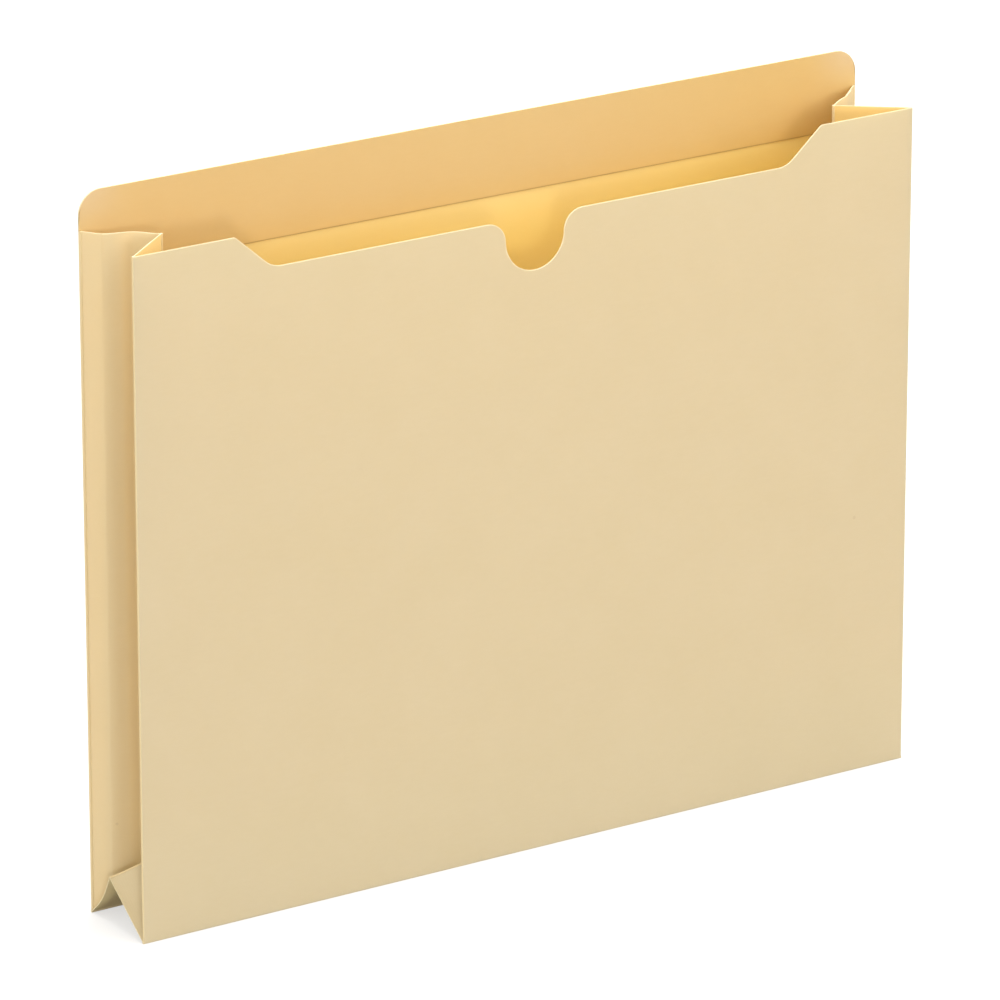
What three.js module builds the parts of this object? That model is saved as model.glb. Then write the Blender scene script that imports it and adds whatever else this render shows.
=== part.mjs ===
// Expanding file jacket for letter-size papers, folded from manila board.
// One die-cut blank makes the front panel, the side gussets, the bottom gusset and the back panel
// with its two glue flaps and its folded tab. Each crease is a hinge, so each flat between creases
// is a solid of its own, and the crease itself is a bead of crushed board on the hinge line.
//
// Millimetres, +Z up. X runs across the panels and the front panel faces -Y. The origin is under
// the middle of the jacket, on the surface that the bottom creases stand on.

import * as THREE from 'three';

// Board and glue.
const BOARD = 0.28;            // 11 point manila board
const GLUE = 0.06;             // room that a dried glue line keeps between two plies
const GLUE_AIR = 0.01;         // air above and below a glue film
const PLY_GAP = 0.03;          // air between plies that slide on each other when folded flat
const EDGE_GAP = 0.03;         // air between the cut edge of a ply and its crease bead

// Panels.
const WIDTH = 298.45;          // across the panels, 11 3/4 in
const FRONT_HEIGHT = 228.6;    // base to the shoulders of the front, 9 in
const TAB_RISE = 12.7;         // how far the tab stands above the front's shoulders, 1/2 in
const TAB_PLY_HEIGHT = 27.2;   // how far the folded ply reaches down inside the back
const TAB_CORNER = 8;          // radius of the tab's corners

// Cut-away of the front panel.
const SHOULDER = 37.1;         // full-height width at each side of the front
const DROP = 11.9;             // depth of the wide recess between the shoulders
const DROP_RUN = 13.7;         // width over which the edge slopes down from a shoulder
const SHOULDER_FILLET = 1.5;   // outward round at the top of the slope
const DROP_FILLET = 9;         // inward round at the foot of the slope
const NOTCH_RADIUS = 11.2;     // round bottom of the thumb notch
const NOTCH_DEPTH = 18;        // thumb notch below the recess edge
const NOTCH_LIP = 7;           // outward round at the mouth of the thumb notch

// Gussets.
const GUSSET_HALF = 25.4;      // outer crease to inner crease, 1 in, so the jacket opens to 2 in
const REST_DEPTH = 33;         // outside depth at which the jacket stands
const FLAP = 12.7;             // width of the glue flap on the back panel's side edge, 1/2 in
const FLAP_BARE = 5.6;         // strip of the flap that the side gusset's cut edge leaves bare
const SEAM_MARGIN = 0.8;       // a glue line stays this far inside the plies that it joins
const CREASE_R = 0.5;          // radius of the crease beads
const STEP_IN = 3.5;           // run over which the bottom gusset steps in past the side gussets
const MITRE_GAP = 0.3;         // air between the side gussets' mitred ends and the bottom gusset

const ROUND = 8;               // half the facets of a rounded corner
const BEAD_FACETS = 14;        // facets round a crease bead

// Layers of the folded-flat jacket, measured from the axis of an outer crease towards the middle.
// Every ply has its own layer, so nothing passes through anything at any opening.
const PANEL_FACE = CREASE_R - BOARD;
const FLAP_FACE = BOARD + GLUE + PLY_GAP - PANEL_FACE;
const SIDE_FACE = FLAP_FACE + BOARD + GLUE;
const BOTTOM_FACE = SIDE_FACE + BOARD + PLY_GAP;
const HALF_STACK = BOTTOM_FACE + BOARD + PLY_GAP / 2;
const RIDGE_R = BOARD + PLY_GAP / 2;

// Angle of the gusset halves at rest: the two halves and the stack of plies make up the depth.
const AXIS_DEPTH = REST_DEPTH - 2 * CREASE_R;
const REACH = Math.hypot(GUSSET_HALF, HALF_STACK);
const REST_ANGLE = Math.asin(AXIS_DEPTH / 2 / REACH) - Math.atan(HALF_STACK / GUSSET_HALF);

// Places of the crease axes.
const AXIS_X = WIDTH / 2 - CREASE_R;
const AXIS_Y = AXIS_DEPTH / 2;
const AXIS_Z = CREASE_R;
const FOLD_IN = GUSSET_HALF * Math.cos(REST_ANGLE) - HALF_STACK * Math.sin(REST_ANGLE);

// How far from a bead's axis a ply starts, when its nearer face lies `offset` from that axis.
function clearOfBead(radius, offset) {
  return Math.sqrt(Math.max(radius ** 2 - offset ** 2, 0)) + EDGE_GAP;
}

const PANEL_START = clearOfBead(CREASE_R, PANEL_FACE);
const GUSSET_START = clearOfBead(CREASE_R, FLAP_FACE);
const SIDE_END = GUSSET_HALF - clearOfBead(CREASE_R, HALF_STACK - SIDE_FACE - BOARD);
const BOTTOM_END = GUSSET_HALF - clearOfBead(RIDGE_R, PLY_GAP / 2);
const SIDE_FOOT = AXIS_Z + STEP_IN + MITRE_GAP;

// Colours of uncoated manila board and of dried glue.
const OUTSIDE = 0xecd9b0;
const INSIDE = 0xe6c88f;
const GUSSET = 0xdfc596;
const CREASE = 0xe3cda0;
const DRY_GLUE = 0xd8cfa8;

const jacket = new THREE.Group();

function addPiece(parent, name, geometry, color, roughness = 0.85) {
  const material = new THREE.MeshStandardMaterial({ color, roughness, metalness: 0 });
  const mesh = new THREE.Mesh(geometry, material);
  mesh.name = name;
  parent.add(mesh);
  return mesh;
}

// A flat ply: an outline in x and z, with its thickness from y = nearY to nearY + thickness.
function ply(outline, nearY, thickness = BOARD) {
  const geometry = new THREE.ExtrudeGeometry(outline, {
    depth: thickness, bevelEnabled: false, curveSegments: ROUND,
  });
  geometry.rotateX(Math.PI / 2);
  geometry.translate(0, nearY + thickness, 0);
  return geometry;
}

// A straight outline from [x, z] corners.
function polygon(corners) {
  const shape = new THREE.Shape();
  shape.setFromPoints(corners.map(([x, z]) => new THREE.Vector2(x, z)));
  return shape;
}

function uprightBead(radius, bottom, top) {
  const geometry = new THREE.CylinderGeometry(radius, radius, top - bottom, BEAD_FACETS);
  geometry.rotateX(Math.PI / 2);
  geometry.translate(0, 0, (top + bottom) / 2);
  return geometry;
}

function levelBead(radius, length) {
  const geometry = new THREE.CylinderGeometry(radius, radius, length, BEAD_FACETS);
  geometry.rotateZ(Math.PI / 2);
  return geometry;
}

// A bar along x with a section of [y, z] corners.
function crossBar(corners, length) {
  const shape = polygon(corners.map(([y, z]) => [-z, y]));
  const geometry = new THREE.ExtrudeGeometry(shape, { depth: length, bevelEnabled: false });
  geometry.translate(0, 0, -length / 2);
  geometry.rotateY(Math.PI / 2);
  return geometry;
}

// Half width of the panels beside the side creases, and past the ends of those creases. Under
// the side creases the panels keep their full width, from their bottom edge up to their foot.
const CREASED_X = AXIS_X - PANEL_START;
const FREE_X = WIDTH / 2;
const PANEL_BOTTOM = AXIS_Z + PANEL_START;
const PANEL_FOOT = SIDE_FOOT - MITRE_GAP;

// Back panel.

const TAB_FOLD_R = BOARD + GLUE / 2;
const TAB_HEIGHT = FRONT_HEIGHT + TAB_RISE;
const TAB_TOP = TAB_HEIGHT - TAB_FOLD_R;
const BACK_FACE = AXIS_Y + PANEL_FACE;

// Upper edge of the back: from the top of the right side crease over the tab to the left one.
function traceTab(shape, creasedX) {
  const cornerX = FREE_X - TAB_CORNER;
  const cornerZ = TAB_TOP - TAB_CORNER;
  const creaseTop = FRONT_HEIGHT + EDGE_GAP;
  shape.lineTo(creasedX, creaseTop);
  shape.lineTo(FREE_X, creaseTop);
  shape.lineTo(FREE_X, cornerZ);
  shape.absarc(cornerX, cornerZ, TAB_CORNER, 0, Math.PI / 2, false);
  shape.lineTo(-cornerX, TAB_TOP);
  shape.absarc(-cornerX, cornerZ, TAB_CORNER, Math.PI / 2, Math.PI, false);
  shape.lineTo(-FREE_X, creaseTop);
  shape.lineTo(-creasedX, creaseTop);
}

function addBackPanel() {
  const shape = new THREE.Shape();
  shape.moveTo(-CREASED_X, PANEL_FOOT);
  shape.lineTo(-FREE_X, PANEL_FOOT);
  shape.lineTo(-FREE_X, PANEL_BOTTOM);
  shape.lineTo(FREE_X, PANEL_BOTTOM);
  shape.lineTo(FREE_X, PANEL_FOOT);
  shape.lineTo(CREASED_X, PANEL_FOOT);
  traceTab(shape, CREASED_X);
  addPiece(jacket, 'back_panel', ply(shape, BACK_FACE), INSIDE);
}

// The tab is doubled: the blank folds over at its top and is glued down inside the back.
function addTab() {
  const plyFace = BACK_FACE - GLUE - BOARD;
  const plyX = AXIS_X - CREASE_R - EDGE_GAP;
  const bottom = TAB_HEIGHT - TAB_PLY_HEIGHT;
  const shape = new THREE.Shape();
  shape.moveTo(-plyX, bottom);
  shape.lineTo(plyX, bottom);
  traceTab(shape, plyX);
  addPiece(jacket, 'tab_inner_ply', ply(shape, plyFace), INSIDE);

  const filmX = plyX - SEAM_MARGIN;
  const film = polygon([
    [-filmX, bottom + SEAM_MARGIN],
    [filmX, bottom + SEAM_MARGIN],
    [filmX, TAB_TOP - TAB_CORNER],
    [-filmX, TAB_TOP - TAB_CORNER],
  ]);
  const filmY = BACK_FACE - GLUE + GLUE_AIR;
  addPiece(jacket, 'tab_glue', ply(film, filmY, GLUE - 2 * GLUE_AIR), DRY_GLUE, 0.5);

  const foldStart = Math.asin(EDGE_GAP / TAB_FOLD_R);
  const halfRound = new THREE.Path();
  halfRound.absarc(0, 0, TAB_FOLD_R, foldStart, Math.PI - foldStart, false);
  const section = halfRound.getPoints(ROUND).map((point) => [point.x, point.y]);
  const fold = addPiece(jacket, 'tab_fold', crossBar(section, WIDTH - 2 * TAB_CORNER), CREASE);
  fold.position.set(0, (plyFace + BACK_FACE + BOARD) / 2, TAB_TOP);
}

// Front panel.

// The recess between the shoulders, with a thumb notch in its middle. The edge is traced from
// the right shoulder to the left, and the left half mirrors the right.
function frontOutline() {
  const shape = new THREE.Shape();
  shape.moveTo(-FREE_X, PANEL_BOTTOM);
  shape.lineTo(FREE_X, PANEL_BOTTOM);
  shape.lineTo(FREE_X, PANEL_FOOT);
  shape.lineTo(CREASED_X, PANEL_FOOT);
  shape.lineTo(CREASED_X, FRONT_HEIGHT);
  const rightHalf = recessEdge();
  rightHalf.forEach(([x, z]) => shape.lineTo(x, z));
  shape.lineTo(0, FRONT_HEIGHT - DROP - NOTCH_DEPTH);
  rightHalf.reverse().forEach(([x, z]) => shape.lineTo(-x, z));
  shape.lineTo(-CREASED_X, FRONT_HEIGHT);
  shape.lineTo(-CREASED_X, PANEL_FOOT);
  shape.lineTo(-FREE_X, PANEL_FOOT);
  return shape;
}

// Right half of the recess edge, from the shoulder to the bottom of the thumb notch.
function recessEdge() {
  const edge = new THREE.Path();
  const shoulderX = WIDTH / 2 - SHOULDER;
  const floor = FRONT_HEIGHT - DROP;
  const slope = Math.atan2(DROP, DROP_RUN);
  const topTangent = SHOULDER_FILLET * Math.tan(slope / 2);
  const footTangent = DROP_FILLET * Math.tan(slope / 2);
  const footX = shoulderX - DROP_RUN;
  const quarter = Math.PI / 2;

  // Shoulder, slope and the round at its foot.
  edge.moveTo(shoulderX + topTangent, FRONT_HEIGHT);
  edge.absarc(
    shoulderX + topTangent, FRONT_HEIGHT - SHOULDER_FILLET, SHOULDER_FILLET,
    quarter, quarter + slope, false,
  );
  edge.absarc(
    footX - footTangent, floor + DROP_FILLET, DROP_FILLET,
    slope - quarter, -quarter, true,
  );

  // Lip and round bottom of the thumb notch. They meet on a tangent, or on a straight side where
  // the notch is deeper than the two rounds.
  const bothRounds = NOTCH_LIP + NOTCH_RADIUS;
  const lean = Math.asin(Math.min(NOTCH_DEPTH - bothRounds, 0) / bothRounds);
  const lipX = bothRounds * Math.cos(lean);
  edge.absarc(lipX, floor - NOTCH_LIP, NOTCH_LIP, quarter, Math.PI + lean, false);
  edge.absarc(0, floor - NOTCH_DEPTH + NOTCH_RADIUS, NOTCH_RADIUS, lean, -quarter, true);

  const points = edge.getPoints(ROUND).map((point) => [point.x, point.y]);
  points.pop();
  return points;
}

function addFrontPanel() {
  addPiece(jacket, 'front_panel', ply(frontOutline(), -AXIS_Y - PANEL_FACE - BOARD), OUTSIDE);
}

// Side gussets. Each half is drawn flat, from its outer crease inwards, and turned to rest.
// side is -1 on the left and 1 on the right; end is 1 at the back and -1 at the front.

// Lower end of a side gusset, `along` its width from the outer crease: it is mitred at 45 degrees,
// so that the bottom gusset folds up between the two halves.
function mitre(along) {
  return Math.max(SIDE_FOOT, AXIS_Z + along + MITRE_GAP);
}

function gussetOutline(side, from, to, bottomMargin, top) {
  const feet = [from, STEP_IN, to].filter((along) => along >= from && along <= to);
  const corners = feet.map((along) => [along, mitre(along) + bottomMargin]);
  corners.push([to, top], [from, top]);
  return polygon(corners.map(([along, z]) => [-side * along, z]));
}

function turnedSide(side, end) {
  const group = new THREE.Group();
  group.position.set(side * AXIS_X, end * AXIS_Y, 0);
  group.rotation.z = side * end * REST_ANGLE;
  jacket.add(group);
  return group;
}

// y of the nearer face of a ply whose layer starts `face` from the crease axis.
function layerY(end, face, thickness) {
  return end > 0 ? -face - thickness : face;
}

function addSideHalf(side, end, name, from) {
  const group = turnedSide(side, end);
  const outline = gussetOutline(side, from, SIDE_END, 0, FRONT_HEIGHT);
  addPiece(group, name, ply(outline, layerY(end, SIDE_FACE, BOARD)), GUSSET);
  return group;
}

// The flap on the back panel's side edge is folded in. The rear half of the gusset laps over its
// outside and is glued to it.
function addGlueFlap(group, side, sideName) {
  const flap = gussetOutline(side, GUSSET_START, FLAP, 0, FRONT_HEIGHT);
  addPiece(group, `${sideName}_glue_flap`, ply(flap, layerY(1, FLAP_FACE, BOARD)), OUTSIDE);

  const thickness = GLUE - 2 * GLUE_AIR;
  const face = FLAP_FACE + BOARD + GLUE_AIR;
  const film = gussetOutline(
    side, FLAP_BARE + SEAM_MARGIN, FLAP - SEAM_MARGIN, SEAM_MARGIN, FRONT_HEIGHT - SEAM_MARGIN,
  );
  const glue = ply(film, layerY(1, face, thickness), thickness);
  addPiece(group, `${sideName}_seam_glue`, glue, DRY_GLUE, 0.5);
}

function addSideCreases(side, sideName) {
  const creaseFoot = PANEL_FOOT + EDGE_GAP;
  for (const [end, endName] of [[1, 'rear'], [-1, 'front']]) {
    const bead = uprightBead(CREASE_R, creaseFoot, FRONT_HEIGHT);
    const piece = addPiece(jacket, `${sideName}_${endName}_crease`, bead, CREASE);
    piece.position.set(side * AXIS_X, end * AXIS_Y, 0);
  }
  const innerFoot = AXIS_Z + GUSSET_HALF + RIDGE_R + MITRE_GAP;
  const inner = uprightBead(CREASE_R, innerFoot, FRONT_HEIGHT);
  const fold = addPiece(jacket, `${sideName}_inner_crease`, inner, CREASE);
  fold.position.set(side * (AXIS_X - FOLD_IN), 0, 0);
}

function addSideGussets() {
  for (const [side, sideName] of [[-1, 'left'], [1, 'right']]) {
    const rear = addSideHalf(side, 1, `${sideName}_gusset_rear`, FLAP_BARE);
    addGlueFlap(rear, side, sideName);
    addSideHalf(side, -1, `${sideName}_gusset_front`, GUSSET_START);
    addSideCreases(side, sideName);
  }
}

// Bottom gusset. Near its outer crease each half steps in, to pass inside the side gussets.
function addBottomHalf(end, name) {
  const profile = [
    [GUSSET_START, FLAP_FACE],
    [STEP_IN, BOTTOM_FACE],
    [BOTTOM_END, BOTTOM_FACE],
    [BOTTOM_END, BOTTOM_FACE + BOARD],
    [STEP_IN, BOTTOM_FACE + BOARD],
    [GUSSET_START, FLAP_FACE + BOARD],
  ];
  const section = profile.map(([up, layer]) => [-end * layer, up]);
  const piece = addPiece(jacket, name, crossBar(section, WIDTH), GUSSET);
  piece.position.set(0, end * AXIS_Y, AXIS_Z);
  piece.rotation.x = end * REST_ANGLE;
}

function addBottomGusset() {
  for (const [end, endName] of [[1, 'rear'], [-1, 'front']]) {
    addBottomHalf(end, `bottom_gusset_${endName}`);
    const crease = addPiece(jacket, `bottom_${endName}_crease`, levelBead(CREASE_R, WIDTH), CREASE);
    crease.position.set(0, end * AXIS_Y, AXIS_Z);
  }
  const ridge = addPiece(jacket, 'bottom_ridge_crease', levelBead(RIDGE_R, WIDTH), CREASE);
  ridge.position.set(0, 0, AXIS_Z + FOLD_IN);
}

addBackPanel();
addTab();
addFrontPanel();
addSideGussets();
addBottomGusset();

export default jacket;
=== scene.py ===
"""Looks of an expanding file jacket of manila board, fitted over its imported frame."""

import math

import bpy
from mathutils import Matrix, Vector


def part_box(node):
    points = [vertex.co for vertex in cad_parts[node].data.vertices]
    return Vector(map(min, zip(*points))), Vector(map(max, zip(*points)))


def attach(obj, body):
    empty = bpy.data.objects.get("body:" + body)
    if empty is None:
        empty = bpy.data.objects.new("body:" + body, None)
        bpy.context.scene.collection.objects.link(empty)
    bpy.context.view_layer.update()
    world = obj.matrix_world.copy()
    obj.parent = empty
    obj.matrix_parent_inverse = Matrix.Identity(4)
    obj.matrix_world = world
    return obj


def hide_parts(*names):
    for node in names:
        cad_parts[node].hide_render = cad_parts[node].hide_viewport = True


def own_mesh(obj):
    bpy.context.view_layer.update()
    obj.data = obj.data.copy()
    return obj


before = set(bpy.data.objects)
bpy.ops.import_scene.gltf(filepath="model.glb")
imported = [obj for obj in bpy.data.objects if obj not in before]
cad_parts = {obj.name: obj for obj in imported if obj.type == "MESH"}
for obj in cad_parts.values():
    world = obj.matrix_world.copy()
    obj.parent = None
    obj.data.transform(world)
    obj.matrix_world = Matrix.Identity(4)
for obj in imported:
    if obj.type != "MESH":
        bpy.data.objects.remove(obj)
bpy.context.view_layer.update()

# Sizes of the jacket, in millimetres, as its source gives them.
BOARD = 0.28
WIDTH = 298.45
FRONT_HEIGHT = 228.6
TAB_RISE = 12.7
TAB_PLY_HEIGHT = 27.2
TAB_CORNER = 8.0
GUSSET = 25.4
DEPTH = 33.0
CREASE_R = 0.5
RIDGE_R = 0.32
TAB_PLY_AIR = 0.07
FLAP = 12.7

# Cut-away of the front panel.
SHOULDER = 37.1
DROP = 11.9
DROP_RUN = 13.7
SHOULDER_FILLET = 1.5
DROP_FILLET = 9.0
NOTCH_RADIUS = 11.2
NOTCH_DEPTH = 18.0
NOTCH_LIP = 7.0

# Crease lines of the standing jacket.
AXIS_X = WIDTH / 2 - CREASE_R
AXIS_Y = DEPTH / 2 - CREASE_R
AXIS_Z = CREASE_R
FOLD_X = -1000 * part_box("left_inner_crease")[0].x - CREASE_R
RIDGE_Z = 1000 * (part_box("bottom_ridge_crease")[0].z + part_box("bottom_ridge_crease")[1].z) / 2
TAB_TOP = FRONT_HEIGHT + TAB_RISE

# The rear half of each side gusset laps over the flap, up to a cut edge that runs a little askew.
LAP_TOP = {"left": 7.3, "right": 5.8}
LAP_FOOT = {"left": 4.2, "right": 5.4}
LAP_AIR = 0.03
MITRE_AIR = 0.3

# Edges of the panels, which reach into the creases, and of the gussets' plies and their glue.
FOOT_Z = AXIS_Z - 0.2
EDGE_X = WIDTH / 2 - 0.25
PLY_END = 0.1                  # from a crease line to the edge of a gusset's ply
GLUE_INSET = 1.0               # from the edges of the lap to the glue

RIM = 0.4                      # width of the rim along a cut edge: paler cut board with a painted highlight, or a painted shadow line
PANEL_BOW = 0.25
FRONT_BOW = 0.35

# Place and depth of the kink in a rear half, and how far the rest of it bellies the other way.
SIDE_BEND = {"left": (7.0, 2.2, 2.3), "right": (12.7, 0.9, 0.4)}

# At its left end the ridge of the bottom gusset has dropped back, and the rear half hangs from it.
RIDGE_DROP = (4.3, -4.3)       # towards the back and down, at the very end
RIDGE_REACH = 12.0             # how far in from the end it has dropped
REAR_SAG = 1.5

# How finely the plies and creases are divided.
PANEL_ROWS = 40
TAB_PLY_ROWS = 12
TAB_STEPS = 44
CORNER_STEPS = 12
NOTCH_STEPS = 16
LIP_STEPS = 10
SIDE_COLUMNS = 40
SIDE_ROWS = 48
BOTTOM_COLUMNS = 16
BOTTOM_ROWS = 60
CREASE_STEPS = 60
TAB_FOLD_STEPS = 30
RIDGE_STEPS = 150

# Colours of the board, as they look in plain light.
MANILA = (217, 202, 168)
PULP = (227, 214, 188)
FLECK = (150, 112, 70)
# Pale rim along cut edges: partly the paler cut board, partly a painted highlight.
PALE_RIM_AND_HIGHLIGHT = (255, 243, 212)
# Painted shadow line under the foot of the tab's ply.
PAINTED_SHADOW_LINE = (150, 112, 62)

# How the board is built up.
FIBRE_SHARE = 0.4
FLECK_SIZE = 0.045
FLECK_RARITY = 0.93
FLECK_STRENGTH = 0.15
RELIEF = 0.00002
PALE_AND_HIGHLIGHT_STRENGTH = 0.8
PAINTED_SHADOW_STRENGTH = 0.75
PASSED_SHARE = 0.28            # share of the light that the board lets through
PASSED_COLOR = (0.84, 0.86, 0.58, 1)

# Where the painted warm bounce light inside the pocket changes, from and to, in metres, and how strong
# it is there.
FOOT_TO_DEEP = (0.022, 0.05)
DEEP_TO_TAB = (0.196, 0.226)
TAB_TO_TOP = (0.226, 0.243)
MIDDLE_TO_CORNER = (0.128, 0.149)
LEFT_TO_RIGHT = (0.02, 0.12)
FOOT_PAINTED_BOUNCE = 0.3
TAB_PAINTED_BOUNCE = 0.55
LEFT_PAINTED_BOUNCE = 0.82
CORNER_LOSS = 0.8


def metres(*values):
    """A vector in metres of values in millimetres."""
    return Vector([value / 1000 for value in values])


# Node-building helpers.


def add_node(tree, kind, inputs=None, **settings):
    """A node with its settings, and with values or other nodes' outputs for its inputs."""
    node = tree.nodes.new(kind)
    for name, value in settings.items():
        setattr(node, name, value)
    inputs = inputs or {}
    give(tree, [node.inputs[name] for name in inputs], inputs.values())
    return node


def give(tree, sockets, values):
    """Feeds each socket with its value, or with the output that stands for it."""
    for socket, value in zip(sockets, values):
        if hasattr(value, "is_output"):
            tree.links.new(value, socket)
        else:
            socket.default_value = value


def maths(tree, operation, *values, clamp=False):
    node = tree.nodes.new("ShaderNodeMath")
    node.operation = operation
    node.use_clamp = clamp
    give(tree, node.inputs, values)
    return node.outputs[0]


def mixed_color(tree, share, first, second, blend="MIX"):
    node = add_node(tree, "ShaderNodeMix", data_type="RGBA", blend_type=blend)
    give(tree, (node.inputs[0], node.inputs[6], node.inputs[7]), (share, first, second))
    return node.outputs[2]


def ramp(tree, value, low, high, to_low=0.0, to_high=1.0, smooth=False):
    """A value between low and high, held within them, mapped to the range of to_low and to_high."""
    kind = "SMOOTHSTEP" if smooth else "LINEAR"
    node = add_node(tree, "ShaderNodeMapRange", {
        "Value": value, "From Min": low, "From Max": high, "To Min": to_low, "To Max": to_high,
    }, interpolation_type=kind)
    return node.outputs[0]


def add_sockets(tree, in_out, sockets):
    for name, kind, *default in sockets:
        socket = tree.interface.new_socket(name=name, in_out=in_out, socket_type=kind)
        if default:
            socket.default_value = default[0]


# Materials.


def linear(red, green, blue):
    """A colour written as it looks, 0 to 255, as the linear colour that a shader takes."""
    def channel(value):
        share = value / 255
        return share / 12.92 if share <= 0.04045 else ((share + 0.055) / 1.055) ** 2.4

    return (channel(red), channel(green), channel(blue), 1.0)


def make_board_fibres():
    """Group: colour, roughness and height of uncoated board, with cloudy pulp, fibres and flecks."""
    tree = bpy.data.node_groups.new("board_fibres", "ShaderNodeTree")
    add_sockets(tree, "INPUT", [
        ("Board", "NodeSocketColor", (0.8, 0.65, 0.4, 1)),
        ("Fibre", "NodeSocketColor", (0.9, 0.8, 0.6, 1)),
        ("Fleck", "NodeSocketColor", (0.4, 0.3, 0.15, 1)),
        ("Cloud Share", "NodeSocketFloat", 0.35),
        ("Fibre Share", "NodeSocketFloat", 0.25),
        ("Roughness", "NodeSocketFloat", 0.8),
    ])
    add_sockets(tree, "OUTPUT", [
        ("Color", "NodeSocketColor"),
        ("Roughness", "NodeSocketFloat"),
        ("Height", "NodeSocketFloat"),
    ])
    given = tree.nodes.new("NodeGroupInput")
    result = tree.nodes.new("NodeGroupOutput")
    place = tree.nodes.new("ShaderNodeTexCoord").outputs["Object"]

    cloud = add_node(tree, "ShaderNodeTexNoise", {
        "Vector": place, "Scale": 45.0, "Detail": 4.0, "Roughness": 0.6})
    stretched = add_node(tree, "ShaderNodeMapping", {
        "Vector": place, "Scale": (220.0, 900.0, 900.0)})
    fibres = add_node(tree, "ShaderNodeTexNoise", {
        "Vector": stretched.outputs[0], "Scale": 1.0, "Detail": 3.0, "Roughness": 0.7})
    grain = add_node(tree, "ShaderNodeTexNoise", {
        "Vector": place, "Scale": 1700.0, "Detail": 2.0, "Roughness": 0.6})
    dots = add_node(tree, "ShaderNodeTexVoronoi", {"Vector": place, "Scale": 70.0})
    wanted = add_node(tree, "ShaderNodeSeparateColor", {"Color": dots.outputs["Color"]})

    clouded = maths(tree, "MULTIPLY", cloud.outputs[0], given.outputs["Cloud Share"])
    fibrous = maths(tree, "MULTIPLY", fibres.outputs[0], given.outputs["Fibre Share"])
    lightness = maths(tree, "ADD", clouded, fibrous, clamp=True)
    board = mixed_color(tree, lightness, given.outputs["Board"], given.outputs["Fibre"])

    near = maths(tree, "LESS_THAN", dots.outputs["Distance"], FLECK_SIZE)
    rare = maths(tree, "GREATER_THAN", wanted.outputs[0], FLECK_RARITY)
    fleck = maths(tree, "MULTIPLY", maths(tree, "MULTIPLY", near, rare), FLECK_STRENGTH)
    flecked = mixed_color(tree, fleck, board, given.outputs["Fleck"])

    rough = maths(tree, "MULTIPLY_ADD", fibres.outputs[0], 0.12, given.outputs["Roughness"])
    height = maths(tree, "ADD", grain.outputs[0], maths(tree, "MULTIPLY", fibres.outputs[0], 0.8))
    tree.links.new(flecked, result.inputs["Color"])
    tree.links.new(rough, result.inputs["Roughness"])
    tree.links.new(height, result.inputs["Height"])
    return tree


def make_painted_pocket_bounce():
    """Group: painted warm bounce light inside the pocket, from 0 at the tab's outer corners to 1 deep
    down.

    It falls again towards the foot of the pocket, and a little towards the left.
    """
    tree = bpy.data.node_groups.new("painted_pocket_bounce", "ShaderNodeTree")
    add_sockets(tree, "OUTPUT", [("Warmth", "NodeSocketFloat")])
    result = tree.nodes.new("NodeGroupOutput")
    place = tree.nodes.new("ShaderNodeTexCoord").outputs["Object"]
    split = add_node(tree, "ShaderNodeSeparateXYZ", {"Vector": place}).outputs
    deep = ramp(tree, split["Z"], *DEEP_TO_TAB, 1.0, TAB_PAINTED_BOUNCE, smooth=True)
    foot = ramp(tree, split["Z"], *FOOT_TO_DEEP, FOOT_PAINTED_BOUNCE, 1.0, smooth=True)
    high = ramp(tree, split["Z"], *TAB_TO_TOP, 0.0, 1.0, smooth=True)
    off_middle = maths(tree, "ABSOLUTE", split["X"])
    outer = ramp(tree, off_middle, *MIDDLE_TO_CORNER, 0.0, CORNER_LOSS, smooth=True)
    kept = maths(tree, "SUBTRACT", 1.0, maths(tree, "MULTIPLY", high, outer))
    right = ramp(tree, split["X"], *LEFT_TO_RIGHT, LEFT_PAINTED_BOUNCE, 1.0, smooth=True)
    spread = maths(tree, "MULTIPLY", maths(tree, "MINIMUM", deep, foot), right)
    painted_bounce = maths(tree, "MULTIPLY", spread, kept)
    tree.links.new(painted_bounce, result.inputs[0])
    return tree


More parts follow.
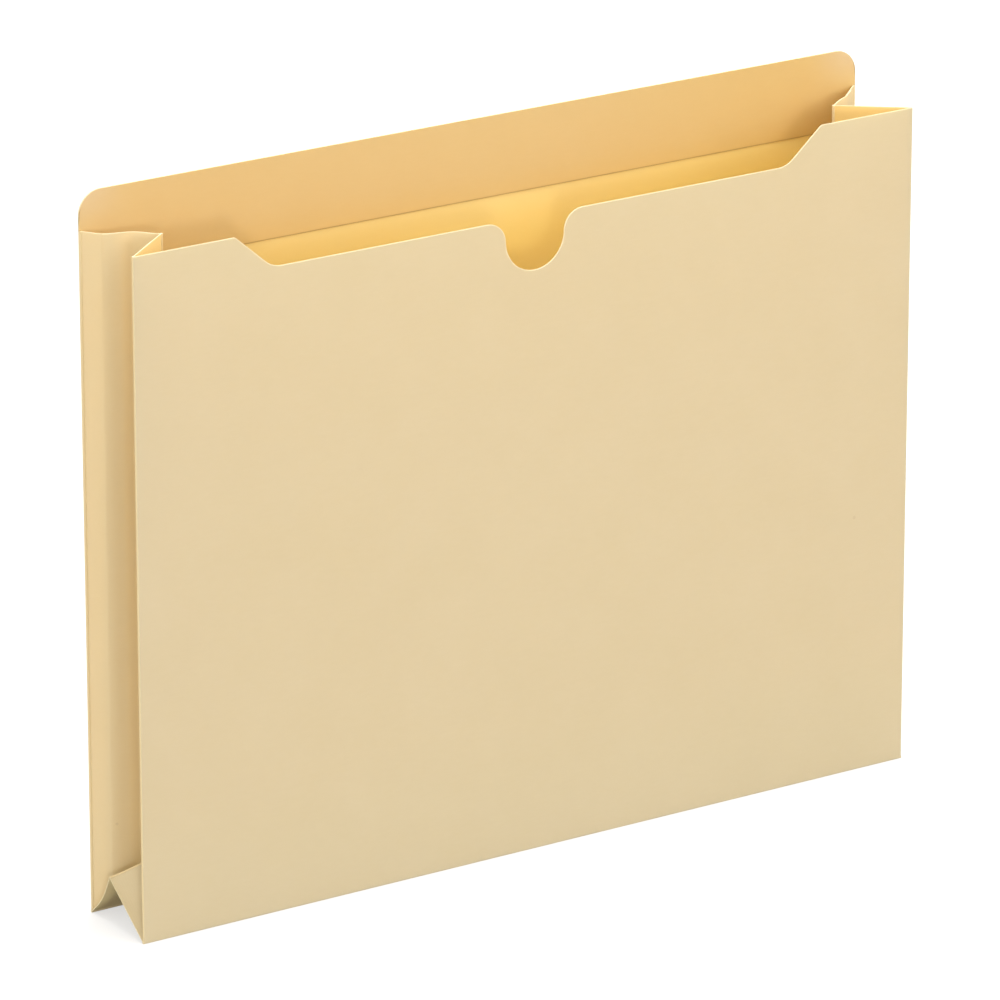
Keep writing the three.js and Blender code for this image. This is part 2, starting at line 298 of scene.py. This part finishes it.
def make_board(name, board, fibre, roughness=0.74, cloud=0.4, painted_bounce=None,
               through=PASSED_SHARE, passed_on=PASSED_COLOR):
    """Uncoated board, thin enough to let some light through, with a pale rim along its cut edges that
    is partly a painted highlight, a painted shadow line where the rim is negative, and, when asked,
    painted warm bounce light inside the pocket.
    """
    material = bpy.data.materials.new(name)
    material.use_nodes = True
    tree = material.node_tree
    shader = tree.nodes["Principled BSDF"]
    shader.inputs["Specular IOR Level"].default_value = 0.3
    fibres = add_node(tree, "ShaderNodeGroup", {
        "Board": linear(*board), "Fibre": linear(*fibre), "Fleck": linear(*FLECK),
        "Cloud Share": cloud, "Fibre Share": FIBRE_SHARE, "Roughness": roughness,
    }, node_tree=board_fibres)
    bump = add_node(tree, "ShaderNodeBump", {
        "Strength": 0.35, "Distance": RELIEF, "Height": fibres.outputs["Height"]})
    tree.links.new(fibres.outputs["Roughness"], shader.inputs["Roughness"])
    tree.links.new(bump.outputs[0], shader.inputs["Normal"])

    color = fibres.outputs["Color"]
    # Painted warm bounce light: the board inside the pocket is tinted warmer deep down and towards the
    # right.
    if painted_bounce:
        painted_bounce_tint = add_node(tree, "ShaderNodeGroup", node_tree=painted_pocket_bounce)
        color = mixed_color(tree, painted_bounce_tint.outputs[0], color, linear(*painted_bounce), "MULTIPLY")
    rim = add_node(tree, "ShaderNodeAttribute", attribute_name="rim").outputs["Fac"]
    # Pale rim: partly the paler cut board, partly a painted highlight.
    pale_and_highlight = maths(tree, "MULTIPLY", rim, PALE_AND_HIGHLIGHT_STRENGTH, clamp=True)
    # Painted shadow line where the rim is negative.
    painted_shadow = maths(tree, "MULTIPLY", rim, -PAINTED_SHADOW_STRENGTH, clamp=True)
    color = mixed_color(tree, pale_and_highlight, color, linear(*PALE_RIM_AND_HIGHLIGHT))
    color = mixed_color(tree, painted_shadow, color, linear(*PAINTED_SHADOW_LINE))
    tree.links.new(color, shader.inputs["Base Color"])

    passed = add_node(tree, "ShaderNodeBsdfTranslucent", {"Color": passed_on})
    mixed = tree.nodes.new("ShaderNodeMixShader")
    mixed.inputs[0].default_value = through
    tree.links.new(shader.outputs[0], mixed.inputs[1])
    tree.links.new(passed.outputs[0], mixed.inputs[2])
    tree.links.new(mixed.outputs[0], tree.nodes["Material Output"].inputs[0])
    return material


board_fibres = make_board_fibres()
painted_pocket_bounce = make_painted_pocket_bounce()

OUTSIDE = make_board("manila_outside", MANILA, PULP)
# Painted bounce light: the pocket side is a brighter, warmer copy of the same board as the outside.
POCKET_SIDE = make_board(
    "manila_pocket_side_painted_bounce", (246, 223, 182), (252, 234, 204), painted_bounce=(255, 237, 132),
    passed_on=(1.0, 0.88, 0.54, 1))
# Painted bounce light: the gussets' outer faces are a brighter, warmer copy of the board, for the warm
# shade in the folds.
FOLD_SIDE = make_board("manila_fold_side_painted_bounce", (238, 216, 171), (246, 227, 190))
# Painted bounce light: the tab's inner ply is a warmer copy of the board.
TAB_SIDE = make_board("manila_tab_painted_bounce", (231, 201, 161), (239, 214, 185), painted_bounce=(255, 234, 128))
GLUED_SIDE = make_board("manila_glued_side", MANILA, PULP, through=0.0)
CUT_EDGE = make_board("manila_cut_edge", (248, 232, 196), (253, 242, 214), roughness=0.85)
CREASED = make_board("manila_creased", (240, 217, 172), (248, 230, 192), cloud=0.5)
DRY_GLUE = make_board("dried_glue", (214, 190, 140), (226, 206, 160), roughness=0.45)


# Plies of board.


def rim_width(columns, i):
    """How far the rim reaches down from the upper edge, so that it is as wide on a slope."""
    before, after = columns[max(i - 1, 0)], columns[min(i + 1, len(columns) - 1)]
    slope = (after[2] - before[2]) / (after[0] - before[0])
    return min(RIM * math.hypot(1, slope), 10 * RIM)


def flat_ply(columns, rows, lean=0.0, rims=(0.0, 1.0)):
    """Flat quads in x and z. Each column is (x, foot, top). The first column leans at its top.

    The attribute rim holds rims[0] along the foot and rims[1] along the top, and 0 elsewhere. Positive
    values paint a pale rim, partly a painted highlight, and negative ones a painted shadow line.
    """
    points = []
    values = []
    for i, (x, foot, top) in enumerate(columns):
        leaning = lean * (1 - i / (len(columns) - 1))
        heights = [foot + (top - foot) * row / rows for row in range(rows + 1)]
        heights[1:1] = [foot + RIM]
        heights[-1:-1] = [top - rim_width(columns, i)]
        for height in heights:
            points.append(metres(x + leaning * (height - foot) / (top - foot), 0, height))
        values += [rims[0]] + [0.0] * (rows + 1) + [rims[1]]
    faces = []
    for i in range(len(columns) - 1):
        for j in range(rows + 2):
            a = i * (rows + 3) + j
            faces.append((a, a + 1, a + rows + 4, a + rows + 3))
    mesh = bpy.data.meshes.new("flat_ply")
    mesh.from_pydata(points, [], faces)
    mesh.attributes.new("rim", "FLOAT", "POINT").data.foreach_set("value", values)
    return mesh


def make_ply_body():
    """Geometry: a flat ply, bent by its rule and given the thickness of the board.

    Width runs along x from one crease to the next, and length along z. The ply can bow, be kinked
    where a glued flap ends, belly beyond the kink, and be pushed out of place at one end.
    """
    tree = bpy.data.node_groups.new("ply_body", "GeometryNodeTree")
    add_sockets(tree, "INPUT", [
        ("Geometry", "NodeSocketGeometry"),
        ("Board", "NodeSocketFloat", BOARD / 1000),
        ("Width", "NodeSocketFloat", 0.1),
        ("Length", "NodeSocketFloat", 0.1),
        ("Bow", "NodeSocketFloat", 0.0),
        ("Kink Place", "NodeSocketFloat", 0.001),
        ("Kink", "NodeSocketFloat", 0.0),
        ("Belly", "NodeSocketFloat", 0.0),
        ("Lap Rise", "NodeSocketFloat", 0.0),
        ("End Reach", "NodeSocketFloat", 0.01),
        ("End Lean", "NodeSocketFloat", 0.0),
        ("End Sag", "NodeSocketFloat", 0.0),
        ("End Pull", "NodeSocketFloat", 0.0),
        ("Near Side", "NodeSocketMaterial"),
        ("Far Side", "NodeSocketMaterial"),
        ("Cut Edge", "NodeSocketMaterial"),
    ])
    add_sockets(tree, "OUTPUT", [("Geometry", "NodeSocketGeometry")])
    given = tree.nodes.new("NodeGroupInput").outputs
    result = tree.nodes.new("NodeGroupOutput")
    position = add_node(tree, "GeometryNodeInputPosition").outputs[0]
    split = add_node(tree, "ShaderNodeSeparateXYZ", {"Vector": position}).outputs
    across, along = split["X"], split["Z"]

    share_across = ramp(tree, across, 0.0, given["Width"])
    share_along = ramp(tree, along, 0.0, given["Length"])
    arch = maths(tree, "SINE", maths(tree, "MULTIPLY", share_across, math.pi))
    long_arch = maths(tree, "SINE", maths(tree, "MULTIPLY", share_along, math.pi))
    bow = maths(tree, "MULTIPLY", maths(tree, "MULTIPLY", arch, long_arch), given["Bow"])

    rising = ramp(tree, across, 0.0, given["Kink Place"])
    falling = ramp(tree, across, given["Kink Place"], given["Width"], 1.0, 0.0)
    kink = maths(tree, "MULTIPLY", maths(tree, "SMOOTH_MIN", rising, falling, 0.5), given["Kink"])
    past_kink = ramp(tree, across, given["Kink Place"], given["Width"], 0.0, math.pi, smooth=True)
    belly = maths(tree, "MULTIPLY", maths(tree, "SINE", past_kink), given["Belly"])
    lap = maths(tree, "MULTIPLY", falling, given["Lap Rise"])

    at_end = ramp(tree, along, 0.0, given["End Reach"], 1.0, 0.0, smooth=True)
    lean = maths(tree, "MULTIPLY", share_across, given["End Lean"])
    sag = maths(tree, "MULTIPLY", arch, given["End Sag"])
    pull = maths(tree, "MULTIPLY", share_across, given["End Pull"])
    end_out = maths(tree, "MULTIPLY", maths(tree, "ADD", lean, sag), at_end)
    end_in = maths(tree, "MULTIPLY", pull, at_end)

    out = bow
    for part in (kink, belly, lap, end_out):
        out = maths(tree, "ADD", out, part)
    shift = add_node(tree, "ShaderNodeCombineXYZ", {"X": end_in, "Y": out})
    bent = add_node(tree, "GeometryNodeSetPosition", {
        "Geometry": given["Geometry"], "Offset": shift.outputs[0]})

    thick = add_node(tree, "GeometryNodeExtrudeMesh", {
        "Mesh": bent.outputs[0], "Offset Scale": given["Board"], "Individual": False})
    turned = add_node(tree, "GeometryNodeFlipFaces", {"Mesh": bent.outputs[0]})
    far = add_node(tree, "GeometryNodeSetMaterial", {
        "Geometry": turned.outputs[0], "Material": given["Far Side"]})
    near = add_node(tree, "GeometryNodeSetMaterial", {
        "Geometry": thick.outputs["Mesh"], "Material": given["Near Side"]})
    both = add_node(tree, "GeometryNodeJoinGeometry")
    tree.links.new(far.outputs[0], both.inputs[0])
    tree.links.new(near.outputs[0], both.inputs[0])
    whole = add_node(tree, "GeometryNodeMergeByDistance", {
        "Geometry": both.outputs[0], "Distance": 0.000001})
    real = add_node(tree, "GeometryNodeRealizeInstances", {"Geometry": whole.outputs[0]})
    edged = add_node(tree, "GeometryNodeSetMaterial", {
        "Geometry": real.outputs[0], "Selection": thick.outputs["Side"],
        "Material": given["Cut Edge"]})
    tree.links.new(edged.outputs[0], result.inputs[0])
    return tree


def make_crease_roll():
    """Geometry: the crushed, rounded board of a fold, swept along the line of the crease."""
    tree = bpy.data.node_groups.new("crease_roll", "GeometryNodeTree")
    add_sockets(tree, "INPUT", [
        ("Geometry", "NodeSocketGeometry"),
        ("Radius", "NodeSocketFloat", CREASE_R / 1000),
        ("Unevenness", "NodeSocketFloat", 0.00004),
        ("Fold", "NodeSocketMaterial"),
        ("Cut Edge", "NodeSocketMaterial"),
    ])
    add_sockets(tree, "OUTPUT", [("Geometry", "NodeSocketGeometry")])
    given = tree.nodes.new("NodeGroupInput").outputs
    result = tree.nodes.new("NodeGroupOutput")
    line = add_node(tree, "GeometryNodeMeshToCurve", {"Mesh": given["Geometry"]})
    section = add_node(tree, "GeometryNodeCurvePrimitiveCircle", {
        "Resolution": 20, "Radius": given["Radius"]})
    roll = add_node(tree, "GeometryNodeCurveToMesh", {
        "Curve": line.outputs[0], "Profile Curve": section.outputs[0], "Fill Caps": True})
    noise = add_node(tree, "ShaderNodeTexNoise", {"Scale": 60.0, "Detail": 2.0})
    middle = add_node(tree, "ShaderNodeVectorMath", {
        0: noise.outputs["Color"], 1: (0.5, 0.5, 0.5)}, operation="SUBTRACT")
    uneven = add_node(tree, "ShaderNodeVectorMath", {
        0: middle.outputs[0], "Scale": given["Unevenness"]}, operation="SCALE")
    worn = add_node(tree, "GeometryNodeSetPosition", {
        "Geometry": roll.outputs[0], "Offset": uneven.outputs[0]})
    real = add_node(tree, "GeometryNodeRealizeInstances", {"Geometry": worn.outputs[0]})
    folded = add_node(tree, "GeometryNodeSetMaterial", {
        "Geometry": real.outputs[0], "Material": given["Fold"]})
    corners = add_node(tree, "GeometryNodeCornersOfFace")
    cap = maths(tree, "GREATER_THAN", corners.outputs["Total"], 4.5)
    capped = add_node(tree, "GeometryNodeSetMaterial", {
        "Geometry": folded.outputs[0], "Selection": cap, "Material": given["Cut Edge"]})
    tree.links.new(capped.outputs[0], result.inputs[0])
    return tree


ply_body = make_ply_body()
crease_roll = make_crease_roll()


def made_mesh(name, mesh, tree, values, place):
    """The plain mesh that a geometry tree makes of a mesh, set in its place on the jacket."""
    source = bpy.data.objects.new(name + "_source", mesh)
    bpy.context.scene.collection.objects.link(source)
    modifier = source.modifiers.new("shape", "NODES")
    modifier.node_group = tree
    for socket in tree.interface.items_tree:
        if socket.in_out == "INPUT" and socket.name in values:
            modifier[socket.identifier] = values[socket.name]
    shaped = source.evaluated_get(bpy.context.evaluated_depsgraph_get())
    made = bpy.data.meshes.new_from_object(shaped)
    bpy.data.objects.remove(source)
    made.transform(place)
    made.name = name
    piece = bpy.data.objects.new(name, made)
    bpy.context.scene.collection.objects.link(piece)
    return piece


def add_ply(name, columns, rows, place, values, near, far, width, length, lean=0.0, rims=(0, 1)):
    """A ply of board. The values are bends of the ply body in millimetres."""
    sides = {"Near Side": near, "Far Side": far, "Cut Edge": CUT_EDGE}
    spans = {"Width": width / 1000, "Length": length / 1000}
    shape = {key: value / 1000 for key, value in values.items()}
    flat = flat_ply(columns, rows, lean, rims)
    return made_mesh(name, flat, ply_body, {**sides, **spans, **shape}, place)


def add_crease(name, points, body, slot, node, radius=CREASE_R):
    """The rounded board of a fold, along a line of points in millimetres."""
    line = bpy.data.meshes.new(name + "_line")
    edges = [(i, i + 1) for i in range(len(points) - 1)]
    line.from_pydata([metres(*point) for point in points], edges, [])
    values = {"Radius": radius / 1000, "Fold": CREASED, "Cut Edge": CUT_EDGE}
    piece = made_mesh(name, line, crease_roll, values, Matrix.Identity(4))
    for face in piece.data.polygons:
        face.use_smooth = len(face.vertices) == 4
    return settle(piece, body, slot, node)


def settle(piece, body, slot, *nodes):
    """Gives a piece its moving body, and hides the nodes of the frame that it stands in for. The slot
    is not used.
    """
    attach(piece, body)
    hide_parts(*nodes)
    return piece


def steps(low, high, count):
    """Evenly spaced values from low to high."""
    return [low + (high - low) * i / count for i in range(count + 1)]


# Panels.


def tab_columns(edge_x, foot):
    """Columns of the back, whose upper edge runs over the tab and its rounded corners."""
    columns = []
    for i in range(CORNER_STEPS + 1):
        angle = math.pi / 2 * i / CORNER_STEPS
        x = WIDTH / 2 - TAB_CORNER * (1 - math.sin(angle))
        top = TAB_TOP - TAB_CORNER * (1 - math.cos(angle))
        columns.append((x, foot if x < edge_x else FRONT_HEIGHT, top))
    left = [(-x, low, top) for x, low, top in reversed(columns)]
    straight = steps(TAB_CORNER - WIDTH / 2, WIDTH / 2 - TAB_CORNER, TAB_STEPS)
    middle = [(x, foot, TAB_TOP) for x in straight]
    return left[:-1] + middle + columns[1:]


def front_top(x):
    """Height of the front panel's edge at x: shoulder, slope, recess, lip and thumb notch."""
    x = abs(x)
    recess = FRONT_HEIGHT - DROP
    slope = math.atan2(DROP, DROP_RUN)
    shoulder_x = WIDTH / 2 - SHOULDER
    round_x = shoulder_x + SHOULDER_FILLET * math.tan(slope / 2)
    foot_x = shoulder_x - DROP_RUN - DROP_FILLET * math.tan(slope / 2)
    if x >= round_x:
        return FRONT_HEIGHT
    if x >= round_x - SHOULDER_FILLET * math.sin(slope):
        return FRONT_HEIGHT - SHOULDER_FILLET + math.sqrt(SHOULDER_FILLET ** 2 - (round_x - x) ** 2)
    if x >= foot_x + DROP_FILLET * math.sin(slope):
        return FRONT_HEIGHT - (shoulder_x - x) * math.tan(slope)
    if x >= foot_x:
        return recess + DROP_FILLET - math.sqrt(DROP_FILLET ** 2 - (x - foot_x) ** 2)
    lip_x = NOTCH_RADIUS + NOTCH_LIP
    if x >= lip_x:
        return recess
    if x >= NOTCH_RADIUS:
        return recess - NOTCH_LIP + math.sqrt(NOTCH_LIP ** 2 - (lip_x - x) ** 2)
    return recess - NOTCH_DEPTH + NOTCH_RADIUS - math.sqrt(NOTCH_RADIUS ** 2 - x ** 2)


def front_columns(edge_x, foot):
    """Columns of the front, closest together where its upper edge is round."""
    slope = math.atan2(DROP, DROP_RUN)
    shoulder_x = WIDTH / 2 - SHOULDER
    recess_x = shoulder_x - DROP_RUN - DROP_FILLET
    places = []
    for i in range(NOTCH_STEPS + 1):
        places.append(NOTCH_RADIUS * math.sin(math.pi / 2 * i / NOTCH_STEPS))
    for i in range(1, LIP_STEPS + 1):
        places.append(NOTCH_RADIUS + NOTCH_LIP * (1 - math.cos(math.pi / 2 * i / LIP_STEPS)))
    places += steps(places[-1], recess_x, 10)[1:]
    places += steps(recess_x, recess_x + 2 * DROP_FILLET * math.sin(slope), 14)[1:]
    places += steps(places[-1], shoulder_x - SHOULDER_FILLET, 3)[1:]
    places += steps(places[-1], shoulder_x + SHOULDER_FILLET, 10)[1:]
    places += steps(places[-1], edge_x, 6)[1:]
    return [(x, foot, front_top(x)) for x in [-x for x in reversed(places[1:])] + places]


def shifted(columns, by):
    """The same columns with their x counted from the left edge of the panel."""
    return [(x + by, foot, top) for x, foot, top in columns]


def add_back():
    outer_face = Matrix.Translation(metres(-WIDTH / 2, DEPTH / 2 - BOARD, 0))
    panel = add_ply(
        "back_board", shifted(tab_columns(EDGE_X, FOOT_Z), WIDTH / 2), PANEL_ROWS, outer_face,
        {"Bow": -PANEL_BOW}, OUTSIDE, POCKET_SIDE, WIDTH, TAB_TOP, rims=(0, 0))
    settle(panel, "back", "panel_board", "back_panel")

    ply_foot = TAB_TOP - TAB_PLY_HEIGHT
    ply_face = Matrix.Translation(metres(-WIDTH / 2, DEPTH / 2 - 2 * BOARD - TAB_PLY_AIR, 0))
    inner_x = AXIS_X - CREASE_R
    # The foot of the tab's ply gets a painted shadow line (rims of -1).
    ply = add_ply(
        "tab_board", shifted(tab_columns(inner_x, ply_foot), WIDTH / 2), TAB_PLY_ROWS, ply_face,
        {"Bow": -PANEL_BOW}, GLUED_SIDE, TAB_SIDE, WIDTH, TAB_TOP, rims=(-1, 0))
    settle(ply, "back", "tab_board", "tab_inner_ply")

    fold_y = DEPTH / 2 - BOARD - TAB_PLY_AIR / 2
    fold_z = TAB_TOP - BOARD
    straight = steps(TAB_CORNER - WIDTH / 2, WIDTH / 2 - TAB_CORNER, TAB_FOLD_STEPS)
    points = [(x, fold_y, fold_z) for x in straight]
    add_crease("tab_top_fold", points, "back", "tab_board", "tab_fold", BOARD + TAB_PLY_AIR / 2)


def add_front():
    columns = shifted(front_columns(EDGE_X, FOOT_Z), WIDTH / 2)
    face = Matrix.Translation(metres(-WIDTH / 2, -DEPTH / 2, 0))
    panel = add_ply(
        "front_board", columns, PANEL_ROWS, face,
        {"Bow": PANEL_BOW}, POCKET_SIDE, OUTSIDE, WIDTH, FRONT_HEIGHT)
    settle(panel, "front", "panel_board", "front_panel")


# Gussets.


def leaning_in(side, end):
    """Unit vector from an outer side crease to the inner fold of its gusset."""
    return Vector((-side * (AXIS_X - FOLD_X), -end * AXIS_Y, 0)).normalized()


def leaning_up(end):
    """Unit vector from an outer bottom crease to the ridge of the bottom gusset."""
    return Vector((0, -end * AXIS_Y, RIDGE_Z - AXIS_Z)).normalized()


def standing(origin, across, along):
    """Places a ply drawn flat, whose middle lies between the crease lines at its sides."""
    facing = along.cross(across)
    turn = Matrix((across, facing, along)).transposed().to_4x4()
    middle = Matrix.Translation(metres(0, -BOARD / 2, 0))
    return Matrix.Translation(metres(*origin)) @ turn @ middle


def flatten(piece):
    """Gives the ply its own copy of its mesh data."""
    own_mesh(piece)


def add_side_half(side, name, end):
    """One half of a side gusset. The rear half is glued over the flap at the back's side."""
    origin = (side * AXIS_X, end * AXIS_Y, 0)
    across, up = leaning_in(side, end), Vector((0, 0, 1))
    place = standing(origin, across, up)
    pocket = -1 if side * end > 0 else 1
    near, far = (POCKET_SIDE, FOLD_SIDE) if pocket > 0 else (FOLD_SIDE, POCKET_SIDE)
    word = "rear" if end > 0 else "front"
    body = f"{name}_{word}_half"

    def side_ply(piece_name, low, high, values, board, lean=0.0):
        across_ply = steps(low, high, SIDE_COLUMNS)
        columns = [(x, AXIS_Z + x + MITRE_AIR, FRONT_HEIGHT) for x in across_ply]
        shape = {key: value * pocket for key, value in values.items()}
        shape.update(board)
        return add_ply(
            piece_name, columns, SIDE_ROWS, place, shape, near, far, GUSSET, FRONT_HEIGHT, lean)

    if end < 0:
        bow = {"Bow": FRONT_BOW}
        front_ply = side_ply(f"{name}_front_gusset_board", PLY_END, GUSSET - PLY_END, bow, {})
        settle(front_ply, body, "side_board", f"{name}_gusset_front")
        flatten(front_ply)
        return

    kink_place, kink, belly = SIDE_BEND[name]
    board = {"Kink Place": kink_place}
    bend = {"Kink": -kink, "Belly": belly}
    lap = {**bend, "Lap Rise": -BOARD - LAP_AIR}
    lean = LAP_TOP[name] - LAP_FOOT[name]
    low = LAP_FOOT[name]
    flap = side_ply(f"{name}_flap_board", PLY_END, FLAP, bend, board)
    rear = side_ply(f"{name}_rear_gusset_board", low, GUSSET - PLY_END, lap, board, lean)
    film = {**bend, "Lap Rise": -BOARD / 2}
    glue = side_ply(
        f"{name}_seam_film", low + GLUE_INSET, FLAP - GLUE_INSET, film,
        {**board, "Board": LAP_AIR / 2}, lean)
    paint(glue, DRY_GLUE)
    for piece, slot, node, layer in (
            (flap, "side_board", "glue_flap", "flap"),
            (rear, "side_board", "gusset_rear", "side"),
            (glue, "dry_glue", "seam_glue", "film")):
        settle(piece, body, slot, f"{name}_{node}")
        flatten(piece)


def paint(piece, material):
    """One material for every side of a piece."""
    for index in range(len(piece.data.materials)):
        piece.data.materials[index] = material


def add_side_gussets():
    for side, name in ((-1, "left"), (1, "right")):
        for end, word in ((1, "rear"), (-1, "front")):
            add_side_half(side, name, end)
            body = "back" if end > 0 else "front"
            line = [(side * AXIS_X, end * AXIS_Y, z) for z in steps(AXIS_Z, FRONT_HEIGHT, CREASE_STEPS)]
            crease = f"{name}_{word}_crease"
            add_crease(f"{name}_{word}_fold", line, body, "crease_board", crease)
        foot = AXIS_Z + GUSSET + RIDGE_R + MITRE_AIR
        line = [(side * FOLD_X, 0, z) for z in steps(foot, FRONT_HEIGHT, CREASE_STEPS)]
        crease = f"{name}_inner_crease"
        add_crease(f"{name}_inner_fold", line, f"{name}_rear_half", "crease_board", crease)


def ridge_drop(end):
    """The drop as a move along a half, from its outer crease, and a move square to it."""
    up = leaning_up(end)
    facing = Vector((1, 0, 0)).cross(up)
    drop = Vector((0, *RIDGE_DROP))
    return drop.dot(up), drop.dot(facing)


def add_bottom_half(end, word):
    """One half of the bottom gusset: a corner, bent by the drop, and the plain board beyond it."""
    origin = (-WIDTH / 2, end * AXIS_Y, AXIS_Z)
    up, along = leaning_up(end), Vector((1, 0, 0))
    place = standing(origin, up, along)
    near, far = (FOLD_SIDE, OUTSIDE) if end > 0 else (OUTSIDE, FOLD_SIDE)
    body = f"bottom_{word}_half"
    pull, lean = ridge_drop(end)
    bent = {
        "End Reach": RIDGE_REACH, "End Pull": pull, "End Lean": lean,
        "End Sag": REAR_SAG if end > 0 else 0.0,
    }
    across = steps(PLY_END, GUSSET - PLY_END, BOTTOM_COLUMNS)

    corner = add_ply(
        f"bottom_{word}_corner", [(x, 0, RIDGE_REACH) for x in across], BOTTOM_COLUMNS, place,
        bent, near, far, GUSSET, WIDTH)
    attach(corner, body)
    flatten(corner)

    board = add_ply(
        f"bottom_{word}_board", [(x, RIDGE_REACH, WIDTH) for x in across], BOTTOM_ROWS, place,
        {}, near, far, GUSSET, WIDTH)
    settle(board, body, "bottom_board", f"bottom_gusset_{word}")
    flatten(board)


def add_bottom_gusset():
    for end, word, body in ((1, "rear", "back"), (-1, "front", "front")):
        add_bottom_half(end, word)
        line = [(x, end * AXIS_Y, AXIS_Z) for x in steps(-WIDTH / 2, WIDTH / 2, CREASE_STEPS)]
        add_crease(f"bottom_{word}_fold", line, body, "crease_board", f"bottom_{word}_crease")

    line = []
    for x in steps(-WIDTH / 2, WIDTH / 2, RIDGE_STEPS):
        share = max(0.0, 1 - (x + WIDTH / 2) / RIDGE_REACH)
        drop = share * share * (3 - 2 * share)
        line.append((x, RIDGE_DROP[0] * drop, RIDGE_Z + RIDGE_DROP[1] * drop))
    ridge = add_crease(
        "bottom_ridge_fold", line, "bottom_rear_half", "crease_board", "bottom_ridge_crease",
        RIDGE_R)
    flatten(ridge)


def dress_frame_nodes():
    """The frame's own nodes that stay in sight are the glue between the plies of the tab."""
    for name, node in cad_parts.items():
        if not node.hide_render:
            node.data.materials.clear()
            node.data.materials.append(DRY_GLUE)


# Studio.

CAMERA_PLACE = (-1309.3, -1969.7, 936.2)
CAMERA_AZIMUTH = 33.562
CAMERA_ELEVATION = 19.123
CAMERA_LENS = 277.75
LIT_POINT = (0, 0, 110)        # where every lamp is aimed

WHITE = (1, 1, 1, 1)
SKY_COLOR = (1.0, 0.97, 0.92, 1)
SKY = 1.0
FLOOR_GREY = (0.36, 0.36, 0.36, 1)
FLOOR_REACH = 6.0
FLOOR_GLOW = 0.6               # added for the camera alone, so that the floor looks white

COOL = (0.98, 0.98, 1.0)
WARM = (1.0, 0.93, 0.82)
# Each lamp: name, place in millimetres, size in metres, watts and colour.
LAMPS = (
    ("key", (-2250, -4410, 810), 0.65, 42, COOL),
    ("back", (1500, 2100, 700), 1.2, 40, COOL),
    ("above", (0, -100, 1500), 0.9, 17, SKY_COLOR[:3]),
    ("side", (-2600, 500, 500), 1.5, 15, WARM),
    ("fill", (1500, -2200, 1700), 2.6, 34, WARM),
)


def add_camera():
    azimuth, elevation = math.radians(CAMERA_AZIMUTH), math.radians(CAMERA_ELEVATION)
    forward = Vector((
        math.sin(azimuth) * math.cos(elevation),
        math.cos(azimuth) * math.cos(elevation),
        -math.sin(elevation)))
    data = bpy.data.cameras.new("camera")
    data.sensor_width = 36.0
    data.lens = CAMERA_LENS
    data.clip_end = 50.0
    camera = bpy.data.objects.new("camera", data)
    camera.location = metres(*CAMERA_PLACE)
    camera.rotation_mode = "QUATERNION"
    camera.rotation_quaternion = forward.to_track_quat("-Z", "Y")
    bpy.context.scene.collection.objects.link(camera)
    bpy.context.scene.camera = camera


def add_lamp(name, place, size, watts, color):
    data = bpy.data.lights.new(name, "AREA")
    data.shape = "DISK"
    data.size = size
    data.energy = watts
    data.color = color
    lamp = bpy.data.objects.new(name, data)
    lamp.location = metres(*place)
    lamp.rotation_mode = "QUATERNION"
    lamp.rotation_quaternion = (metres(*LIT_POINT) - lamp.location).to_track_quat("-Z", "Y")
    bpy.context.scene.collection.objects.link(lamp)


def add_floor():
    """A pale floor that keeps the shadow and looks white to the camera beside it."""
    mesh = bpy.data.meshes.new("floor")
    corners = ((-1, -1), (1, -1), (1, 1), (-1, 1))
    mesh.from_pydata(
        [(FLOOR_REACH * x, FLOOR_REACH * y, 0) for x, y in corners], [], [(0, 1, 2, 3)])
    floor = bpy.data.objects.new("floor", mesh)
    bpy.context.scene.collection.objects.link(floor)
    material = bpy.data.materials.new("pale_floor")
    material.use_nodes = True
    tree = material.node_tree
    shader = tree.nodes["Principled BSDF"]
    shader.inputs["Base Color"].default_value = FLOOR_GREY
    shader.inputs["Roughness"].default_value = 0.9
    shader.inputs["Specular IOR Level"].default_value = 0.1
    seen = tree.nodes.new("ShaderNodeLightPath")
    glow = add_node(tree, "ShaderNodeEmission", {"Color": WHITE, "Strength": FLOOR_GLOW})
    lit = add_node(tree, "ShaderNodeAddShader", {0: shader.outputs[0], 1: glow.outputs[0]})
    mixed = tree.nodes.new("ShaderNodeMixShader")
    tree.links.new(seen.outputs["Is Camera Ray"], mixed.inputs[0])
    tree.links.new(shader.outputs[0], mixed.inputs[1])
    tree.links.new(lit.outputs[0], mixed.inputs[2])
    tree.links.new(mixed.outputs[0], tree.nodes["Material Output"].inputs[0])
    mesh.materials.append(material)


def add_backdrop_light():
    """A plain pale sky that lights the part, seen as white by the camera and in reflections."""
    world = bpy.data.worlds.new("studio")
    bpy.context.scene.world = world
    world.use_nodes = True
    tree = world.node_tree
    plain = tree.nodes["Background"]
    plain.inputs["Color"].default_value = SKY_COLOR
    plain.inputs["Strength"].default_value = SKY
    white = add_node(tree, "ShaderNodeBackground", {"Color": WHITE, "Strength": 1.0})
    seen = tree.nodes.new("ShaderNodeLightPath")
    straight = maths(tree, "MAXIMUM", seen.outputs["Is Camera Ray"], seen.outputs["Is Glossy Ray"])
    mixed = tree.nodes.new("ShaderNodeMixShader")
    tree.links.new(straight, mixed.inputs[0])
    tree.links.new(plain.outputs[0], mixed.inputs[1])
    tree.links.new(white.outputs[0], mixed.inputs[2])
    tree.links.new(mixed.outputs[0], tree.nodes["World Output"].inputs[0])


add_camera()
for lamp in LAMPS:
    add_lamp(*lamp)
add_floor()
add_backdrop_light()
add_back()
add_front()
add_side_gussets()
add_bottom_gusset()
dress_frame_nodes()
bpy.context.scene.view_settings.view_transform = "Standard"
